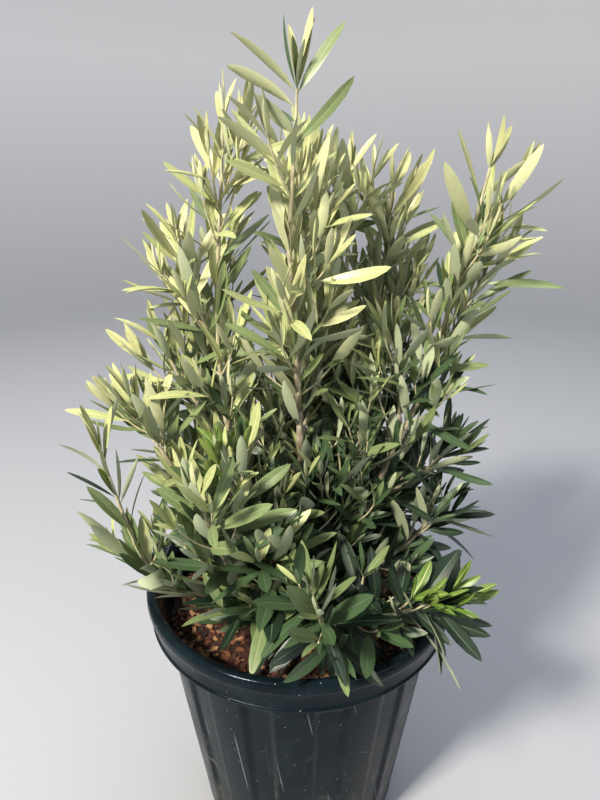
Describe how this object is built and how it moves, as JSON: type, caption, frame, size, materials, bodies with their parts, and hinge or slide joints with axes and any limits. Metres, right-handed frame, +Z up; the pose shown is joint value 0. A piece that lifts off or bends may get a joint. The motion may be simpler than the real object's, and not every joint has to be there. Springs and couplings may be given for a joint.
{
  "type": "potted olive shrub",
  "caption": "Bushy young olive with upright leafy wands in a round fluted plastic nursery pot filled with bark soil.",
  "frame": {"origin": "middle of the pot's flat underside", "axes": "+Z up along the pot and the leader, -Y towards the front that the picture shows, +X to the right seen from the front"},
  "size_m": [0.3918, 0.3867, 0.737],
  "materials": {
    "pot": "satin",
    "soil": "matte",
    "bark": "matte",
    "leaf": "satin"
  },
  "bodies": {
    "root": {"pot": "pot", "soil": "soil", "trunk": "bark", "bough_left_tall": "bark", "bough_right_tall": "bark", "bough_right_middle": "bark", "bough_right_inner": "bark", "bough_back_middle": "bark", "bough_back_left": "bark", "bough_back_right": "bark", "bough_left_low": "bark", "bough_left_trailing": "bark", "bough_front_left": "bark", "bough_front_middle": "bark", "bough_front_right": "bark", "bough_right_low": "bark", "bough_right_lowest": "bark", "bough_back_low": "bark", "foliage_leader_top": "leaf", "foliage_left_tall_top": "leaf", "foliage_right_tall_top": "leaf", "foliage_right_middle_top": "leaf", "foliage_right_inner_top": "leaf", "foliage_back_middle_top": "leaf", "foliage_back_left_top": "leaf", "foliage_back_right_top": "leaf", "foliage_left_low_top": "leaf", "foliage_left_trailing_top": "leaf", "foliage_front_left_top": "leaf", "foliage_front_middle_top": "leaf", "foliage_front_right_top": "leaf", "foliage_right_low_top": "leaf", "foliage_right_lowest_top": "leaf", "foliage_back_low_top": "leaf", "foliage_leader_side_1": "leaf", "foliage_leader_side_2": "leaf", "foliage_leader_side_3": "leaf", "foliage_leader_side_4": "leaf", "foliage_leader_side_5": "leaf", "foliage_left_tall_side_1": "leaf", "foliage_left_tall_side_2": "leaf", "foliage_left_tall_side_3": "leaf", "foliage_left_tall_side_4": "leaf", "foliage_right_tall_side_1": "leaf", "foliage_right_tall_side_2": "leaf", "foliage_right_tall_side_3": "leaf", "foliage_right_tall_side_4": "leaf", "foliage_right_middle_side_1": "leaf", "foliage_right_middle_side_2": "leaf", "foliage_right_inner_side_1": "leaf", "foliage_back_middle_side_1": "leaf", "foliage_back_middle_side_2": "leaf", "foliage_back_left_side_1": "leaf", "foliage_back_left_side_2": "leaf", "foliage_back_right_side_1": "leaf", "foliage_back_right_side_2": "leaf", "foliage_front_left_side_1": "leaf", "foliage_front_left_side_2": "leaf", "foliage_front_right_side_1": "leaf", "foliage_back_low_side_1": "leaf"}
  },
  "joints": []
}
